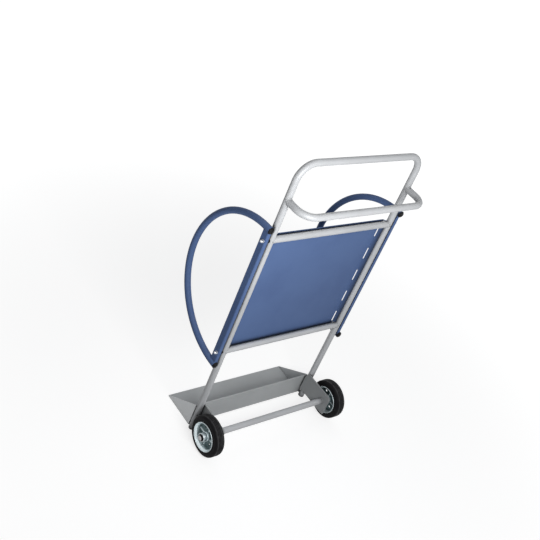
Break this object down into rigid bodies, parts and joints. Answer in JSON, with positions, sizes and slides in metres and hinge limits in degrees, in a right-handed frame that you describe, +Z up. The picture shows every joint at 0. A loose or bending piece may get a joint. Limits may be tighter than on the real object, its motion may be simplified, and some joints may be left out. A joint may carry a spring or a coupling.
{
  "type": "stacking chair trolley",
  "caption": "Tilting two-wheeled trolley with a bent tube frame, push handle, toe plate, slotted back panel and half-round side guards, for moving stacked chairs.",
  "frame": {"origin": "middle of the toe plate's underside, on the floor, with the trolley standing upright", "axes": "+X to the operator's right along the axle, +Y forward over the toe plate, +Z up along the uprights"},
  "size_m": [0.708, 0.5205, 1.2495],
  "materials": {
    "grey_paint": "satin silver-grey powder coat",
    "blue_paint": "satin blue powder coat",
    "zinc": "bright zinc plate",
    "black_plastic": "moulded, matt",
    "tyre": "solid rubber, grooved tread"
  },
  "bodies": {
    "frame": {"hoop_frame": "grey_paint", "push_handle": "grey_paint", "upper_rail": "grey_paint", "lower_rail": "grey_paint", "foot_plugs": "black_plastic", "back_panel": "blue_paint", "panel_rivets": "zinc", "left_guard_tube": "blue_paint", "right_guard_tube": "blue_paint", "left_guard_bar": "blue_paint", "right_guard_bar": "blue_paint", "guard_end_plugs": "black_plastic", "guard_studs": "zinc", "guard_spacers": "black_plastic", "guard_washers": "zinc", "guard_cap_nuts": "zinc", "toe_plate": "grey_paint", "left_toe_gusset": "grey_paint", "right_toe_gusset": "grey_paint", "toe_welds": "grey_paint", "left_axle_bracket": "grey_paint", "right_axle_bracket": "grey_paint", "axle_tube": "grey_paint", "axle": "zinc", "thrust_washers": "zinc", "axle_caps": "zinc"},
    "left_wheel": {"left_tyre": "tyre", "left_rim_outer": "zinc", "left_rim_inner": "zinc", "left_hub": "zinc", "left_roller_cage": "black_plastic", "left_rollers": "zinc"},
    "right_wheel": {"right_tyre": "tyre", "right_rim_outer": "zinc", "right_rim_inner": "zinc", "right_hub": "zinc", "right_roller_cage": "black_plastic", "right_rollers": "zinc"}
  },
  "joints": [
    {"name": "left_wheel_spin", "type": "hinge", "parent": "frame", "child": "left_wheel", "pos_m": [-0.315, -0.2115, 0.088], "axis": [1, 0, 0], "continuous": true},
    {"name": "right_wheel_spin", "type": "hinge", "parent": "frame", "child": "right_wheel", "pos_m": [0.315, -0.2115, 0.088], "axis": [1, 0, 0], "continuous": true}
  ]
}
